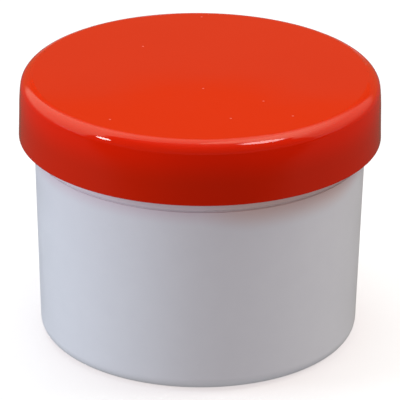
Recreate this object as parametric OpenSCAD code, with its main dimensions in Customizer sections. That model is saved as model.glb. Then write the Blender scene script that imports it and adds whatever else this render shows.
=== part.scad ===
// Straight, short paint jar with an overhanging screw lid and a foam sealing liner.
// The jar stands on z = 0 and its axis is the z axis. All lengths are in millimetres.

/* [Overall] */
// Height of the closed jar, from the ground to the top of the lid
total_h = 55; // [50:0.5:70]

/* [Lid] */
// Outside diameter of the lid at its lower edge
lid_d = 73; // [72:0.5:80]
// Height of the lid
lid_h = 12.9; // [12.6:0.1:14]
// Radius that the skirt would lose over the lid's height if it were straight
lid_draft = 0.28; // [0.1:0.02:0.4]
// Radius of the lid's rounded top edge
lid_edge_r = 2.55; // [1:0.05:3]
// Large radius by which the top of the skirt leans in towards the rounded edge
shoulder_r = 30; // [20:1:34]
// Lean of the skirt where it meets the rounded edge, in degrees
shoulder_deg = 7; // [4:0.5:8]
// Thickness of the lid's top panel
lid_top_t = 1.8; // [1.5:0.1:2]
// Thickness of the skirt at its lower edge
skirt_t = 1.6; // [1.5:0.1:2]

/* [Liner] */
// Thickness of the foam disc
liner_t = 1; // [0.8:0.1:1.2]
// Gap between the edge of the disc and the skirt
liner_side_gap = 0.35; // [0.3:0.05:0.4]
// Gap left on each face of the disc when the lid is closed
liner_face_gap = 0.02; // [0.01:0.01:0.05]

/* [Jar] */
// Radius by which the skirt's lower edge overhangs the jar's wall
overhang = 3.15; // [3.1:0.05:3.5]
// Radius that the wall loses from the collar to the foot
wall_draft = 1.03; // [0.5:0.01:1.5]
// Radius of the rounded bottom edge
foot_edge_r = 2.7; // [1.5:0.1:3]
// Thickness of the neck between the thread and the inside
neck_t = 2; // [1.8:0.1:2.4]
// Thickness of the floor
floor_t = 2.2; // [1.8:0.1:3]
// Height of the collar under the lid
collar_h = 2; // [1.5:0.1:3]
// Amount by which the collar stands out from the wall
collar_out = 0.15; // [0.1:0.05:0.2]
// Gap between the collar and the skirt when the lid is closed
skirt_gap = 0.4; // [0.3:0.05:0.8]

/* [Thread] */
// Rise of the thread in one turn
thread_lead = 4.2; // [4:0.1:4.4]
// Number of turns of thread on the jar and in the lid
thread_turns = 1.25; // [1:0.05:1.3]
// Height of each thread ridge above the surface that carries it
thread_depth = 1.4; // [1.2:0.1:1.4]
// Radial gap between a ridge's crest and the opposite wall
thread_gap = 0.5; // [0.4:0.05:0.6]
// Gap between the loaded flanks of the two threads
flank_gap = 0.15; // [0.1:0.05:0.3]

/* [Hidden] */
$fn = 96;

// Levels, from the top down
lid_bottom_z = total_h - lid_h;
ceiling_z = total_h - lid_top_t;
liner_top_z = ceiling_z - liner_face_gap;
liner_z = liner_top_z - liner_t;
rim_z = liner_z - liner_face_gap;
collar_top_z = lid_bottom_z - skirt_gap;
collar_z = collar_top_z - collar_h;

// Radii of the lid
lid_r = lid_d / 2;
lid_slope = atan(lid_draft / lid_h);
bore_r = lid_r - skirt_t;
lip_r = 0.25;
lead_in = 0.5;
bore_corner_r = 0.3;
liner_r = bore_r - liner_side_gap;

// Bead that keeps the liner in the lid
bead_r = 0.45;
bead_out = 0.5;
bead_drop = 0.1;

// Radii of the jar
neck_r = bore_r - thread_gap - thread_depth;
mouth_r = neck_r - neck_t;
wall_top_r = lid_r - overhang;
wall_foot_r = wall_top_r - wall_draft;
wall_slope = atan(wall_draft / collar_z);
// Least step from the neck out to the collar
collar_step = 0.2;
collar_r = max(wall_top_r + collar_out, neck_r + collar_step);
collar_edge_r = 0.3;
groove_h = 0.35;
groove_in = 0.2;
rim_edge_r = 0.45;

// Inside of the jar
cavity_draft = 0.7;
cavity_corner_r = 3;

// Underside of the jar
foot_recess = 0.8;
foot_ring_w = 2.1;
gate_dish_r = 3.2;
gate_dish_depth = 0.4;
gate_r = 0.9;
gate_h = 0.25;
floor_z = foot_recess + floor_t;

// Thread ridges: a ridge is widest where it leaves its wall
ridge_root_w = 2.3;
ridge_crest_w = 1.1;
ridge_sunk = 0.3;
ridge_taper_deg = 32;
// Share of its height by which a ridge's ends dip under the wall, so that they fade out
ridge_end_dip = 0.15;
ridge_step_deg = 3.75;
thread_deg = 360 * thread_turns;
flank_slope = (ridge_root_w - ridge_crest_w) / 2 / thread_depth;
// Drop of the lid's ridge below the jar's: the ridge widths where they overlap, and the flank gap
ridge_drop = ridge_crest_w + flank_slope * (thread_depth - thread_gap) + flank_gap;
rim_to_thread = 2.4;
jar_thread_z = rim_z - rim_to_thread - thread_lead * thread_turns;
lip_to_ridge = 0.2;
lid_thread_start_z = lid_bottom_z + lead_in + lip_to_ridge + ridge_root_w / 2;
lid_thread_start_deg = (lid_thread_start_z - jar_thread_z + ridge_drop) / thread_lead * 360;

// Distance that a cut runs past the surface it opens
cut_past = 1;
// Reach of the wedge that picks out part of a disc, in times the disc's radius
wedge_reach = 4;

// A point on a circle
function on_circle(centre, r, deg) = centre + r * [cos(deg), sin(deg)];

// Part of a disc between two angles, which rounds a corner exactly
module sector(centre, r, from_deg, to_deg) {
    mid_deg = (from_deg + to_deg) / 2;
    intersection() {
        translate(centre) circle(r);
        polygon([
            centre,
            on_circle(centre, wedge_reach * r, from_deg),
            on_circle(centre, wedge_reach * r, mid_deg),
            on_circle(centre, wedge_reach * r, to_deg)
        ]);
    }
}

// Share of its full height that a ridge has at an angle along the thread
function ridge_share(deg) =
    let (from_end = min(deg, thread_deg - deg) / ridge_taper_deg)
    min(1, (1 + ridge_end_dip) * sin(90 * min(1, from_end)) - ridge_end_dip);

// The four corners of a ridge's cross-section at one angle; side is 1 outwards, -1 inwards
function ridge_section(surface_r, side, start_deg, start_z, deg) =
    let (
        crest = surface_r + side * thread_depth * ridge_share(deg),
        root = surface_r - side * ridge_sunk,
        z = start_z + thread_lead * deg / 360,
        crest_half = ridge_crest_w / 2,
        root_half = ridge_root_w / 2 + flank_slope * ridge_sunk,
        turn = [cos(start_deg + deg), sin(start_deg + deg)]
    )
    [
        [root * turn.x, root * turn.y, z - root_half],
        [crest * turn.x, crest * turn.y, z - crest_half],
        [crest * turn.x, crest * turn.y, z + crest_half],
        [root * turn.x, root * turn.y, z + root_half]
    ];

// Helical ridge on a round wall
module thread_ridge(surface_r, side, start_deg, start_z) {
    sections = floor(thread_deg / ridge_step_deg);
    corners = [
        for (i = [0:sections])
            each ridge_section(surface_r, side, start_deg, start_z, i * thread_deg / sections)
    ];
    sides = [
        for (i = [0:sections - 1], k = [0:3])
            let (a = 4 * i + k, b = 4 * i + (k + 1) % 4)
            each [[a, b, a + 4], [b, b + 4, a + 4]]
    ];
    last = 4 * sections;
    ends = [[2, 1, 0], [3, 2, 0], [last + 1, last + 2, last], [last + 2, last + 3, last]];
    outward = concat(sides, ends);
    inward = [for (f = outward) [f[2], f[1], f[0]]];
    polyhedron(corners, side > 0 ? outward : inward);
}

// Outline of the jar's outside, from the axis to the wall
module jar_outline() {
    edge = [wall_foot_r - foot_edge_r, foot_edge_r];
    edge_end = on_circle(edge, foot_edge_r, -wall_slope);
    collar_edge = [collar_r - collar_edge_r, collar_z + collar_edge_r];
    rim_edge = [neck_r - rim_edge_r, rim_z - rim_edge_r];
    polygon([
        [0, 0],
        [edge.x, 0],
        edge_end,
        [wall_top_r, collar_z - groove_h],
        [wall_top_r - groove_in, collar_z - groove_h],
        [wall_top_r - groove_in, collar_z],
        [collar_edge.x, collar_z],
        [collar_r, collar_edge.y],
        [collar_r, collar_top_z],
        [neck_r, collar_top_z],
        [neck_r, rim_edge.y],
        [rim_edge.x, rim_z],
        [0, rim_z]
    ]);
    sector(edge, foot_edge_r, -90, -wall_slope);
    sector(collar_edge, collar_edge_r, -90, 0);
    sector(rim_edge, rim_edge_r, 0, 90);
}

// Outline of the space inside the jar, with the mouth's rounded inner edge
module cavity_outline() {
    bottom_r = mouth_r - cavity_draft;
    corner = [bottom_r - cavity_corner_r, floor_z + cavity_corner_r];
    mouth_edge_z = rim_z - rim_edge_r;
    polygon([
        [0, floor_z],
        [corner.x, floor_z],
        [bottom_r, corner.y],
        [mouth_r, mouth_edge_z],
        [mouth_r, rim_z + cut_past],
        [0, rim_z + cut_past]
    ]);
    sector(corner, cavity_corner_r, -90, 0);
    difference() {
        translate([mouth_r, mouth_edge_z]) square(rim_edge_r);
        translate([mouth_r + rim_edge_r, mouth_edge_z]) circle(rim_edge_r);
    }
}

// Outline of the hollow under the jar, with the dish and nub that the moulding gate leaves
module foot_outline() {
    recess_r = wall_foot_r - foot_edge_r - foot_ring_w;
    dish_z = foot_recess + gate_dish_depth;
    polygon([
        [0, -cut_past],
        [recess_r + cut_past, -cut_past],
        [recess_r, 0],
        [recess_r - foot_recess, foot_recess],
        [gate_dish_r, foot_recess],
        [gate_dish_r - gate_dish_depth, dish_z],
        [gate_r, dish_z],
        [gate_r, dish_z - gate_h],
        [0, dish_z - gate_h]
    ]);
}

// White moulded jar: wall, collar, neck with its thread, and recessed foot
module jar_body() {
    color([0.93, 0.93, 0.96]) {
        rotate_extrude() difference() {
            jar_outline();
            cavity_outline();
            foot_outline();
        }
        thread_ridge(neck_r, 1, 0, jar_thread_z);
    }
}

// Outline of the lid's outside, from the axis to the skirt
module lid_outline() {
    edge_z = total_h - lid_edge_r;
    shoulder_z = edge_z - (shoulder_r - lid_edge_r) * sin(shoulder_deg);
    shoulder_x = lid_r - shoulder_r / cos(lid_slope) - (shoulder_z - lid_bottom_z) * tan(lid_slope);
    shoulder = [shoulder_x, shoulder_z];
    edge = on_circle(shoulder, shoulder_r - lid_edge_r, shoulder_deg);
    lip = [
        lid_r - lip_r * (1 / cos(lid_slope) + tan(lid_slope)),
        lid_bottom_z + lip_r
    ];
    polygon([
        [0, lid_bottom_z],
        [lip.x, lid_bottom_z],
        on_circle(lip, lip_r, lid_slope),
        on_circle(shoulder, shoulder_r, lid_slope),
        on_circle(edge, lid_edge_r, shoulder_deg),
        [edge.x, total_h],
        [0, total_h]
    ]);
    sector(lip, lip_r, -90, lid_slope);
    sector(shoulder, shoulder_r, lid_slope, shoulder_deg);
    sector(edge, lid_edge_r, shoulder_deg, 90);
}

// Outline of the space inside the lid, narrowed by the bead that holds the liner
module bore_outline() {
    corner = [bore_r - bore_corner_r, ceiling_z - bore_corner_r];
    bead = [bore_r + bead_r - bead_out, liner_z - bead_drop - bead_r];
    difference() {
        union() {
            polygon([
                [0, lid_bottom_z - cut_past],
                [bore_r + lead_in + cut_past, lid_bottom_z - cut_past],
                [bore_r + lead_in, lid_bottom_z],
                [bore_r, lid_bottom_z + lead_in],
                [bore_r, corner.y],
                [corner.x, ceiling_z],
                [0, ceiling_z]
            ]);
            sector(corner, bore_corner_r, 0, 90);
        }
        translate(bead) circle(bead_r);
    }
}

// Red moulded lid: flat top, rounded edge, smooth skirt and inside thread
module screw_lid() {
    color([0.8, 0.11, 0.03]) {
        rotate_extrude() difference() {
            lid_outline();
            bore_outline();
        }
        thread_ridge(bore_r, -1, lid_thread_start_deg, lid_thread_start_z);
    }
}

// Foam disc that seals the lid against the rim
module lid_liner() {
    color([0.95, 0.95, 0.92])
        translate([0, 0, liner_z]) cylinder(r = liner_r, h = liner_t);
}

jar_body();
screw_lid();
lid_liner();
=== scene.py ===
import math

import bmesh
import bpy
from mathutils import Euler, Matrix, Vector, noise


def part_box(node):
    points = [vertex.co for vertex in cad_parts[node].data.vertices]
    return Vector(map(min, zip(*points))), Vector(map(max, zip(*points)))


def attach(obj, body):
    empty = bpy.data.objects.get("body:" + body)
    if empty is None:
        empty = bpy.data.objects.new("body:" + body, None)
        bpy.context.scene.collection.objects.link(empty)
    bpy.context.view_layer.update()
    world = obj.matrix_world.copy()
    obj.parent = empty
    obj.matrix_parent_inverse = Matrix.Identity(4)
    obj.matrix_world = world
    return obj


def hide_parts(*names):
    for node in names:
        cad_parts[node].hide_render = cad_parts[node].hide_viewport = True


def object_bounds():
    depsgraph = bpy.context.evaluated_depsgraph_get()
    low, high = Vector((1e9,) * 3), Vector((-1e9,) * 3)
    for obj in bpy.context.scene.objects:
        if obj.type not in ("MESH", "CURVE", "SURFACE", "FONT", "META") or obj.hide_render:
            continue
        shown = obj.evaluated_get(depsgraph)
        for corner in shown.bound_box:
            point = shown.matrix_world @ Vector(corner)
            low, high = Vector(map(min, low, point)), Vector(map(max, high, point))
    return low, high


# A white moulded paint jar with a glossy red screw lid, in a pale studio.
# The CAD jar and lid are shown as packed. The foam disc in the lid is rebuilt
# here, because real foam is dimpled and pressed in by the jar's rim.
# Lengths are in metres and angles in degrees unless a name says otherwise.

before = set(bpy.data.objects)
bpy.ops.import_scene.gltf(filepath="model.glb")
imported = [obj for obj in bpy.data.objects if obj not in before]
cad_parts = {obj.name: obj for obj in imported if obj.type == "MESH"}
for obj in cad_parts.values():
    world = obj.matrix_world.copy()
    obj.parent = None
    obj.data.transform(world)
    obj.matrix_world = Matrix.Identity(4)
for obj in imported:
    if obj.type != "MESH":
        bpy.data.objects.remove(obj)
cad_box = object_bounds()

MM = 0.001
lid_low, lid_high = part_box("screw_lid")
liner_low, liner_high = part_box("lid_liner")
box_centre = (cad_box[0] + cad_box[1]) / 2


def towards(azimuth, elevation):
    """The direction to an azimuth, 0 behind the object and growing to the right, and an elevation."""
    turn, rise = math.radians(azimuth), math.radians(elevation)
    return Vector((math.sin(turn) * math.cos(rise), math.cos(turn) * math.cos(rise), math.sin(rise)))


# ---- Node helpers -------------------------------------------------------

class Graph:
    """Builds a shader's node tree. Inputs take numbers, colours or other nodes' sockets."""

    def __init__(self, tree):
        self.tree = tree
        tree.nodes.clear()

    def add(self, kind, inputs=None, **settings):
        """Adds a node, sets its properties and fills its inputs."""
        node = self.tree.nodes.new(kind)
        for name, value in settings.items():
            setattr(node, name, value)
        for key, value in (inputs or {}).items():
            if isinstance(value, bpy.types.NodeSocket):
                self.tree.links.new(value, node.inputs[key])
            else:
                node.inputs[key].default_value = value
        return node

    def math(self, operation, a, b=0.0):
        """The result of one sum on two values."""
        return self.add("ShaderNodeMath", {0: a, 1: b}, operation=operation).outputs[0]

    def times(self, a, b):
        """The product of two values."""
        return self.math("MULTIPLY", a, b)

    def axis(self, vector, name):
        """One coordinate of a vector."""
        return self.add("ShaderNodeSeparateXYZ", {0: vector}).outputs[name]

    def flattened(self, vector):
        """A vector without its height."""
        inputs = {0: vector, 1: (1.0, 1.0, 0.0)}
        return self.add("ShaderNodeVectorMath", inputs, operation="MULTIPLY").outputs["Vector"]

    def length(self, vector):
        """The length of a vector."""
        return self.add("ShaderNodeVectorMath", {0: vector}, operation="LENGTH").outputs["Value"]

    def along(self, vector, direction):
        """How far a vector reaches in a direction."""
        inputs = {0: vector, 1: direction}
        return self.add("ShaderNodeVectorMath", inputs, operation="DOT_PRODUCT").outputs["Value"]

    def ramp(self, value, low, high, start=0.0, end=1.0):
        """A smooth step from start to end as value goes from low to high."""
        inputs = {"Value": value, "From Min": low, "From Max": high, "To Min": start, "To Max": end}
        return self.add("ShaderNodeMapRange", inputs, interpolation_type="SMOOTHSTEP").outputs[0]

    def mix(self, share, a, b):
        """A blend of two numbers."""
        return self.add("ShaderNodeMix", {0: share, 2: a, 3: b}, data_type="FLOAT").outputs[0]

    def mix_colour(self, share, a, b, blend="MIX"):
        """A blend of two colours."""
        inputs = {0: share, 6: a, 7: b}
        return self.add("ShaderNodeMix", inputs, data_type="RGBA", blend_type=blend).outputs[2]

    def noise(self, place, size, detail=2.0):
        """A soft noise from 0 to 1 whose blotches are about size across."""
        inputs = {"Vector": place, "Scale": 1 / size, "Detail": detail}
        return self.add("ShaderNodeTexNoise", inputs).outputs["Fac"]

    def bump(self, height, depth, normal=None):
        """A normal bent by a height from 0 to 1 that stands for depth."""
        inputs = {"Height": height, "Distance": depth}
        if normal is not None:
            inputs["Normal"] = normal
        return self.add("ShaderNodeBump", inputs).outputs[0]

    def flecks(self, place, spacing, size, share, dimensions="3D"):
        """1 on sparse round flecks of about size, in a share of cells that are spacing apart."""
        inputs = {"Vector": place, "Scale": 1 / spacing}
        cells = self.add("ShaderNodeTexVoronoi", inputs, voronoi_dimensions=dimensions)
        dot = self.ramp(cells.outputs["Distance"], size / spacing / 2, size / spacing, 1.0, 0.0)
        chance = self.add("ShaderNodeSeparateColor", {0: cells.outputs["Color"]}).outputs[0]
        return self.times(dot, self.math("LESS_THAN", chance, share))

    def emission(self, colour, strength=1.0):
        """A shader that only glows."""
        return self.add("ShaderNodeEmission", {"Color": colour, "Strength": strength}).outputs[0]

    def mix_shader(self, share, a, b):
        """A blend of two shaders."""
        return self.add("ShaderNodeMixShader", {0: share, 1: a, 2: b}).outputs[0]


def rgb(red, green, blue):
    """A linear colour with full alpha."""
    return (red, green, blue, 1.0)


def new_material(name):
    """An empty material, its graph and the place on the object in metres."""
    material = bpy.data.materials.new(name)
    material.use_nodes = True
    graph = Graph(material.node_tree)
    place = graph.add("ShaderNodeTexCoord").outputs["Object"]
    return material, graph, place


def finish_material(graph, inputs):
    """Ends a material's graph with its surface."""
    shader = graph.add("ShaderNodeBsdfPrincipled", inputs)
    graph.add("ShaderNodeOutputMaterial", {"Surface": shader.outputs[0]})


# ---- Materials ----------------------------------------------------------

PLASTIC_IOR = 1.49  # of polypropylene


def lid_dust(g, place, height):
    """Faint specks of dust on the lid's flat top, and none on its skirt."""
    specks = g.flecks(place, spacing=6 * MM, size=0.28 * MM, share=0.11, dimensions="2D")
    return g.times(specks, g.ramp(height, lid_high.z - 0.4 * MM, lid_high.z - 0.1 * MM))


def lid_colour(g, place, height, dust):
    """Red painted brighter towards the top edge: a painted glow that stands for light passing through the
    real lid.
    """
    flow = g.noise(place, 22 * MM)
    deep = g.mix_colour(flow, rgb(0.72, 0.0190, 0.0030), rgb(0.68, 0.0170, 0.0024))
    bright = g.mix_colour(flow, rgb(0.90, 0.0180, 0.0020), rgb(0.87, 0.0155, 0.0015))
    # Painted glow: the red is made lighter towards the lid's top edge.
    painted_glow = g.ramp(height, lid_high.z - 9.0 * MM, lid_high.z - 2.6 * MM)
    red = g.mix_colour(painted_glow, deep, bright)
    dust_opacity = 0.22
    dust_pink = rgb(0.85, 0.50, 0.40)
    return g.mix_colour(g.times(dust, dust_opacity), red, dust_pink)


def lid_material():
    """Glossy red polypropylene with faint flow marks, smears and dust."""
    material, g, place = new_material("red_gloss_plastic")
    height = g.axis(place, "Z")
    dust = lid_dust(g, place, height)

    clean_rough, smeared_rough, dusty_rough = 0.03, 0.055, 0.6
    smears = g.noise(place, 9 * MM, 4.0)
    rough = g.ramp(smears, 0.35, 0.75, clean_rough, smeared_rough)
    rough = g.mix(dust, rough, dusty_rough)

    wave = g.bump(g.noise(place, 26 * MM, 1.0), 0.012 * MM)
    peel = g.bump(g.noise(place, 1.3 * MM, 1.0), 0.0008 * MM, wave)
    finish_material(g, {
        "Base Color": lid_colour(g, place, height, dust),
        "Roughness": rough,
        "IOR": PLASTIC_IOR,
        "Normal": peel,
    })
    return material


def painted_lid_shade(g, flat, height):
    """The strength and colour of painted shade under the lid's overhang, tinted pink as a painted
    reflection of the red lid, warmer and deeper at the front right.
    """
    front_right = towards(144, 0)
    shade_warmth = g.ramp(g.along(flat, front_right), 26.5 * MM, 32.5 * MM)
    lid_shade_foot = g.mix(shade_warmth, lid_low.z - 6.0 * MM, lid_low.z - 8.0 * MM)
    # Painted shade and painted red reflection, strongest just under the lid's lower edge.
    lid_shade = g.ramp(height, lid_shade_foot, lid_low.z - 2.4 * MM, 0.0, 0.72)
    lid_shade = g.times(lid_shade, g.ramp(height, lid_low.z - 0.9 * MM, lid_low.z - 0.3 * MM, 1.0, 0.0))
    pink, brick = rgb(0.81, 0.66, 0.70), rgb(0.75, 0.49, 0.41)
    return lid_shade, g.mix_colour(shade_warmth, pink, brick)


def groove_painted_shade(g, height):
    """The strength of a thin line of painted shade in the groove under the collar."""
    over_foot = g.ramp(height, lid_low.z - 2.80 * MM, lid_low.z - 2.70 * MM)
    under_head = g.ramp(height, lid_low.z - 2.45 * MM, lid_low.z - 2.35 * MM, 1.0, 0.0)
    strength = 0.28
    return g.times(g.times(over_foot, under_head), strength)


def jar_scuffs(g, place, height):
    """Where the lowest half millimetre of the foot is scuffed."""
    foot = g.ramp(height, 0.1 * MM, 0.6 * MM, 1.0, 0.0)
    scuffs = g.ramp(g.noise(place, 1.1 * MM, 4.0), 0.52, 0.62)
    return g.times(foot, scuffs)


def jar_colour(g, place, height, scuffs):
    """Milky white with a faint mottle and sparse specks, then painted shade under the lid, painted shade
    in the groove and scuffs over it.
    """
    mottle = g.noise(place, 4 * MM, 3.0)
    white = g.mix_colour(mottle, rgb(0.890, 0.875, 0.882), rgb(0.855, 0.840, 0.852))
    specks = g.flecks(place, spacing=5 * MM, size=0.16 * MM, share=0.10)
    speck_opacity, speck_grey = 0.4, rgb(0.45, 0.44, 0.43)
    white = g.mix_colour(g.times(specks, speck_opacity), white, speck_grey)

    # The painted shade under the lid and in the groove is kept off the inside of the wall.
    flat = g.flattened(place)
    wall_middle = 32.0 * MM
    outside = g.ramp(g.length(flat), wall_middle, wall_middle + 0.5 * MM)
    lid_shade, lid_shade_colour = painted_lid_shade(g, flat, height)
    white = g.mix_colour(g.times(lid_shade, outside), white, lid_shade_colour)
    groove_shade_grey = rgb(0.33, 0.34, 0.36)
    # Painted shade: a thin grey line in the groove under the collar.
    white = g.mix_colour(g.times(groove_painted_shade(g, height), outside), white, groove_shade_grey)

    scuff_opacity, scuff_grey = 0.35, rgb(0.50, 0.49, 0.48)
    return g.mix_colour(g.times(scuffs, scuff_opacity), white, scuff_grey)


def jar_material():
    """White polypropylene with a soft sheen, a fine grain and a scuffed foot."""
    material, g, place = new_material("white_satin_plastic")
    height = g.axis(place, "Z")
    scuffs = jar_scuffs(g, place, height)

    smooth_rough, coarse_rough, scuffed_rough = 0.33, 0.42, 0.7
    rough = g.ramp(g.noise(place, 6 * MM, 3.0), 0.3, 0.7, smooth_rough, coarse_rough)
    rough = g.mix(scuffs, rough, scuffed_rough)

    wave = g.bump(g.noise(place, 16 * MM, 1.0), 0.05 * MM)
    grain = g.bump(g.noise(place, 0.25 * MM, 2.0), 0.004 * MM, wave)
    finish_material(g, {
        "Base Color": jar_colour(g, place, height, scuffs),
        "Roughness": rough,
        "IOR": PLASTIC_IOR,
        "Normal": grain,
    })
    return material


def foam_material():
    """Off-white closed-cell foam: fine cells, each a shallow pit with painted shade at its bottom."""
    material, g, place = new_material("white_foam")
    cell_size, pit_depth = 0.45 * MM, 0.05 * MM
    cells = g.add("ShaderNodeTexVoronoi", {"Vector": place, "Scale": 1 / cell_size})
    pit = g.ramp(cells.outputs["Distance"], 0.1, 0.6)
    # Painted shade: each pit is darker towards its bottom.
    painted_pit_shade = g.mix_colour(pit, rgb(0.62, 0.62, 0.58), rgb(0.82, 0.82, 0.78))
    tone = g.noise(place, 8 * MM, 3.0)
    yellowed, yellowed_most = rgb(0.74, 0.73, 0.68), 0.25
    colour = g.mix_colour(g.ramp(tone, 0.3, 0.7, 0.0, yellowed_most), painted_pit_shade, yellowed)
    finish_material(g, {
        "Base Color": colour,
        "Roughness": g.ramp(tone, 0.3, 0.7, 0.72, 0.85),
        "Normal": g.bump(pit, pit_depth),
    })
    return material


# ---- Pieces -------------------------------------------------------------

def dress_node(name, material):
    """Gives a CAD node its material."""
    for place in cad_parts[name].material_slots:
        place.material = material


def mesh_object(name, mesh_data, material):
    """A shown object made from a bmesh."""
    mesh = bpy.data.meshes.new(name)
    mesh_data.to_mesh(mesh)
    mesh_data.free()
    mesh.materials.append(material)
    obj = bpy.data.objects.new(name, mesh)
    bpy.context.scene.collection.objects.link(obj)
    return obj


# ---- Foam disc ----------------------------------------------------------
# The jar's rim bears on the disc's bottom face between the two press radii.

TOP, BOTTOM = 1.0, -1.0
FOAM_RADIUS = (liner_high.x - liner_low.x) / 2
EDGE_ROUND = 0.3 * MM
PRESS_INNER, PRESS_OUTER = 30.9 * MM, 33.1 * MM
PRESS_SHOULDER, PRESS_DEPTH = 0.5 * MM, 0.14 * MM
DIMPLE_SIZE, DIMPLE_DEPTH = 2.6 * MM, 0.05 * MM
FOAM_RINGS, FOAM_TURNS, EDGE_STEPS = 46, 180, 6


def smooth_step(value, low, high):
    """0 below low, 1 above high and a smooth step between them."""
    share = min(1.0, max(0.0, (value - low) / (high - low)))
    return share * share * (3 - 2 * share)


def pressed(r):
    """How deep the rim has pressed the foam at a radius."""
    inner = smooth_step(r, PRESS_INNER - PRESS_SHOULDER, PRESS_INNER)
    outer = 1 - smooth_step(r, PRESS_OUTER, PRESS_OUTER + PRESS_SHOULDER)
    return PRESS_DEPTH * inner * outer


def dimple(point):
    """How deep the foam's own skin dips at a point."""
    return DIMPLE_DEPTH * (0.5 + 0.5 * noise.noise(point / DIMPLE_SIZE))


def foam_point(r, inset, side, angle):
    """A point on the disc's skin, a given inset below its top or above its bottom face."""
    face = liner_high.z if side == TOP else liner_low.z
    point = Vector((r * math.cos(angle), r * math.sin(angle), face))
    sink = inset + dimple(point) + (pressed(r) if side == BOTTOM else 0.0)
    point.z -= side * sink
    return point


def foam_outline():
    """The disc's section from its top's middle round the edge to its bottom's: radius, inset and side."""
    flat_r = FOAM_RADIUS - EDGE_ROUND
    top = [(flat_r * step / FOAM_RINGS, 0.0, TOP) for step in range(1, FOAM_RINGS + 1)]
    corner = [math.radians(90 * step / EDGE_STEPS) for step in range(1, EDGE_STEPS + 1)]
    top += [(flat_r + EDGE_ROUND * math.sin(a), EDGE_ROUND * (1 - math.cos(a)), TOP) for a in corner]
    return top + [(r, inset, BOTTOM) for r, inset, _ in reversed(top)]


def foam_disc():
    """The foam disc in the lid, dimpled all over and pressed in where the rim bears on it."""
    disc = bmesh.new()
    angles = [2 * math.pi * step / FOAM_TURNS for step in range(FOAM_TURNS)]
    neighbours = [(step, (step + 1) % FOAM_TURNS) for step in range(FOAM_TURNS)]
    loops = []
    for r, inset, side in foam_outline():
        loops.append([disc.verts.new(foam_point(r, inset, side, angle)) for angle in angles])
    for upper, lower in zip(loops, loops[1:]):
        for a, b in neighbours:
            disc.faces.new((upper[a], lower[a], lower[b], upper[b]))
    for loop, side in ((loops[0], TOP), (loops[-1], BOTTOM)):
        middle = disc.verts.new(foam_point(0.0, 0.0, side, 0.0))
        for a, b in neighbours:
            corners = (middle, loop[a], loop[b]) if side == TOP else (middle, loop[b], loop[a])
            disc.faces.new(corners)
    for face in disc.faces:
        face.smooth = True
    return mesh_object("foam_liner", disc, foam_material())


# ---- Studio -------------------------------------------------------------
# The camera, matt surfaces and the glossy lid each see a different floor and
# sky: a pale backdrop, an even soft glow, and a room of soft panels.

BACKDROP = rgb(0.93, 0.93, 0.93)


def floor_seen(g, place):
    """The floor to the camera: pale, shaded near the object, and one with the backdrop far from it."""
    fade_start, fade_end = 0.2, 0.8
    shaded = g.add("ShaderNodeBsdfDiffuse", {"Color": rgb(0.60, 0.60, 0.60)}).outputs[0]
    lifted = g.emission(rgb(0.54, 0.49, 0.48))
    near = g.add("ShaderNodeAddShader", {0: shaded, 1: lifted}).outputs[0]
    return g.mix_shader(g.ramp(g.length(place), fade_start, fade_end), near, g.emission(BACKDROP))


def floor_mirrored(g, place):
    """The floor to the glossy lid: nearly black in front of the object, dim under and behind it."""
    depth = g.axis(place, "Y")
    in_front = g.ramp(depth, -0.13, -0.07, 0.003, 0.11)
    behind = g.ramp(depth, 0.0, 0.3, 0.0, 0.06)
    return g.emission(rgb(1.0, 0.97, 0.75), g.math("ADD", in_front, behind))


def floor_material():
    """A pale floor that throws an even, faintly blue glow on matt surfaces."""
    material, g, place = new_material("studio_floor")
    path = g.add("ShaderNodeLightPath").outputs
    glow_colour, glow_strength = rgb(0.90, 0.95, 1.0), 0.36
    even = g.emission(glow_colour, glow_strength)
    bounced = g.mix_shader(path["Is Glossy Ray"], even, floor_mirrored(g, place))
    surface = g.mix_shader(path["Is Camera Ray"], bounced, floor_seen(g, place))
    g.add("ShaderNodeOutputMaterial", {"Surface": surface})
    return material


def studio_floor():
    """A wide round floor at the jar's foot."""
    reach, sides = 4.0, 64
    disc = bmesh.new()
    bmesh.ops.create_circle(disc, cap_ends=True, segments=sides, radius=reach)
    floor = mesh_object("studio_floor", disc, floor_material())


def mirrored_gap(g, turn, height):
    """The wall between the panels: dim under a sill but paler low down, brown over it, white overhead."""
    aside = g.math("ABSOLUTE", turn)
    sill = g.ramp(aside, 0.6, 1.7, 22.0, 22.25)
    over_sill = g.ramp(g.math("SUBTRACT", height, sill), -0.05, 0.05)
    off_middle = g.math("MAXIMUM", g.ramp(aside, 8, 14), g.ramp(height, 5, 12))
    low_middle, dim_green = rgb(0.50, 0.48, 0.62), rgb(0.05, 0.22, 0.125)
    brown, white = rgb(0.33, 0.18, 0.060), rgb(1.2, 1.2, 1.2)
    wall = g.mix_colour(over_sill, g.mix_colour(off_middle, low_middle, dim_green), brown)
    return g.mix_colour(g.ramp(height, 28, 50), wall, white)


def mirrored_back(g, turn, height):
    """The back of the room: a tall soft panel on each side of the gap, both leaning inwards."""
    # Each panel's ramps go between two heights, from one brightness to another.
    left = g.math("ADD", g.ramp(height, -6, 16, 0.12, 1.05), g.ramp(height, 14, 52, 0.0, 0.5))
    left = g.math("SUBTRACT", left, g.ramp(height, 56, 74, 0.0, 0.5))
    right = g.math("ADD", g.ramp(height, -14, 30, 0.1, 0.75), g.ramp(height, 30, 68, 0.0, 1.5))
    left_lean, right_lean = 0.35, 0.5
    left_edge = g.math("SUBTRACT", turn, g.times(height, left_lean))
    right_edge = g.math("ADD", turn, g.times(height, right_lean))
    back = g.mix_colour(g.ramp(left_edge, -32.5, -40), mirrored_gap(g, turn, height), left)
    return g.mix_colour(g.ramp(right_edge, 40, 50), back, right)


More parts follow.
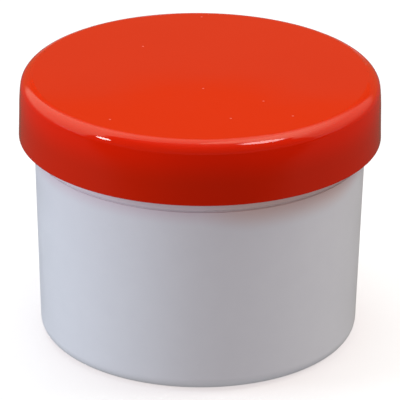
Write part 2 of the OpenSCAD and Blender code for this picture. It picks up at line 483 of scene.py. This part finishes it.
def spot(g, direction, azimuth, elevation, inner, outer):
    """1 within inner degrees of an azimuth and elevation, 0 beyond outer degrees."""
    edge, core = math.cos(math.radians(outer)), math.cos(math.radians(inner))
    return g.ramp(g.along(direction, towards(azimuth, elevation)), edge, core)


def mirrored_lamps(g, direction):
    """Two small bright lamps in front of the object, for the glints on the lid's edge."""
    left = spot(g, direction, azimuth=-115, elevation=26, inner=3.0, outer=5.8)
    right = spot(g, direction, azimuth=114, elevation=62, inner=6.5, outer=12)
    left_power, right_power = 26.0, 8.5
    return g.math("ADD", g.times(left, left_power), g.times(right, right_power))


def mirrored_room(g, direction):
    """What the glossy lid mirrors: a back with two panels, a dark front, and two lamps."""
    axes = g.add("ShaderNodeSeparateXYZ", {0: direction}).outputs
    height = g.math("DEGREES", g.math("ARCSINE", axes["Z"]))
    turn = g.math("DEGREES", g.math("ARCTAN2", axes["X"], axes["Y"]))

    front = g.ramp(height, 45, 80, 0.06, 0.26)
    past_front = g.math("SUBTRACT", axes["Y"], g.ramp(height, 38, 58, -0.25, -0.03))
    room = g.mix_colour(g.ramp(past_front, -0.05, 0.05), front, mirrored_back(g, turn, height))

    # The room is tinted warm, but its low sides are neutral and brighter.
    aside = g.math("ABSOLUTE", turn)
    low_side = g.times(g.ramp(aside, 76, 85), g.ramp(height, 3, 10, 1.0, 0.0))
    warm, neutral = rgb(1.02, 1.05, 0.77), rgb(1.6, 1.57, 1.6)
    room = g.mix_colour(1.0, room, g.mix_colour(low_side, warm, neutral), "MULTIPLY")
    return g.mix_colour(1.0, room, mirrored_lamps(g, direction), "ADD")


def studio_world():
    """A pale backdrop, an even dome that dims overhead, and the room that the lid mirrors."""
    world = bpy.data.worlds.new("studio")
    world.use_nodes = True
    g = Graph(world.node_tree)
    direction = g.add("ShaderNodeTexCoord").outputs["Generated"]
    path = g.add("ShaderNodeLightPath").outputs
    horizon, overhead = rgb(0.765, 0.69, 0.755), rgb(0.32, 0.31, 0.32)
    dome = g.mix_colour(g.ramp(g.axis(direction, "Z"), 0.0, 0.85), horizon, overhead)
    dome = g.mix_colour(path["Is Camera Ray"], dome, BACKDROP)
    seen = g.mix_colour(path["Is Glossy Ray"], dome, mirrored_room(g, direction))
    sky = g.add("ShaderNodeBackground", {"Color": seen})
    g.add("ShaderNodeOutputWorld", {"Surface": sky.outputs[0]})
    bpy.context.scene.world = world


def soft_light(name, azimuth, elevation, size, power, colour):
    """A square soft light aimed at the object. It lights, but isn't mirrored: the world's panels are."""
    distance = 0.9
    data = bpy.data.lights.new(name, "AREA")
    data.size = size
    data.energy = power
    data.color = colour
    light = bpy.data.objects.new(name, data)
    bpy.context.scene.collection.objects.link(light)
    away = towards(azimuth, elevation)
    light.location = box_centre + distance * away
    light.rotation_euler = (-away).to_track_quat("-Z", "Y").to_euler()
    light.visible_glossy = False
    light.visible_camera = False


def studio_camera():
    """The camera, far off with a long lens, a little above the object and rolled by half a degree."""
    elevation, roll = 23.82, 0.567
    distance = 0.7712
    aim = box_centre + Vector((0.15 * MM, 0.0, -0.12 * MM))
    data = bpy.data.cameras.new("camera")
    data.lens = 341.5
    data.sensor_width = 36.0
    camera = bpy.data.objects.new("camera", data)
    bpy.context.scene.collection.objects.link(camera)
    rise = math.radians(elevation)
    camera.location = aim + distance * Vector((0.0, -math.cos(rise), math.sin(rise)))
    tilt = Euler((math.radians(90 - elevation), 0.0, 0.0)).to_matrix()
    spin = Euler((0.0, 0.0, math.radians(roll))).to_matrix()
    camera.rotation_euler = (tilt @ spin).to_euler()
    bpy.context.scene.camera = camera


# ---- Assembly -----------------------------------------------------------

dress_node("jar_body", jar_material())
dress_node("screw_lid", lid_material())
dress_node("lid_liner", foam_material())

liner = foam_disc()
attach(liner, "liner")
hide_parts("lid_liner")

studio_floor()
studio_world()
soft_light("left_softbox", azimuth=-95, elevation=14, size=0.4, power=4.1, colour=(0.675, 0.82, 1.0))
soft_light("right_softbox", azimuth=80, elevation=42, size=0.4, power=2.2, colour=(1.0, 1.0, 0.90))
soft_light("top_softbox", azimuth=-60, elevation=85, size=0.5, power=3.4, colour=(0.75, 1.0, 0.97))
studio_camera()

bpy.context.scene.view_settings.view_transform = "Standard"
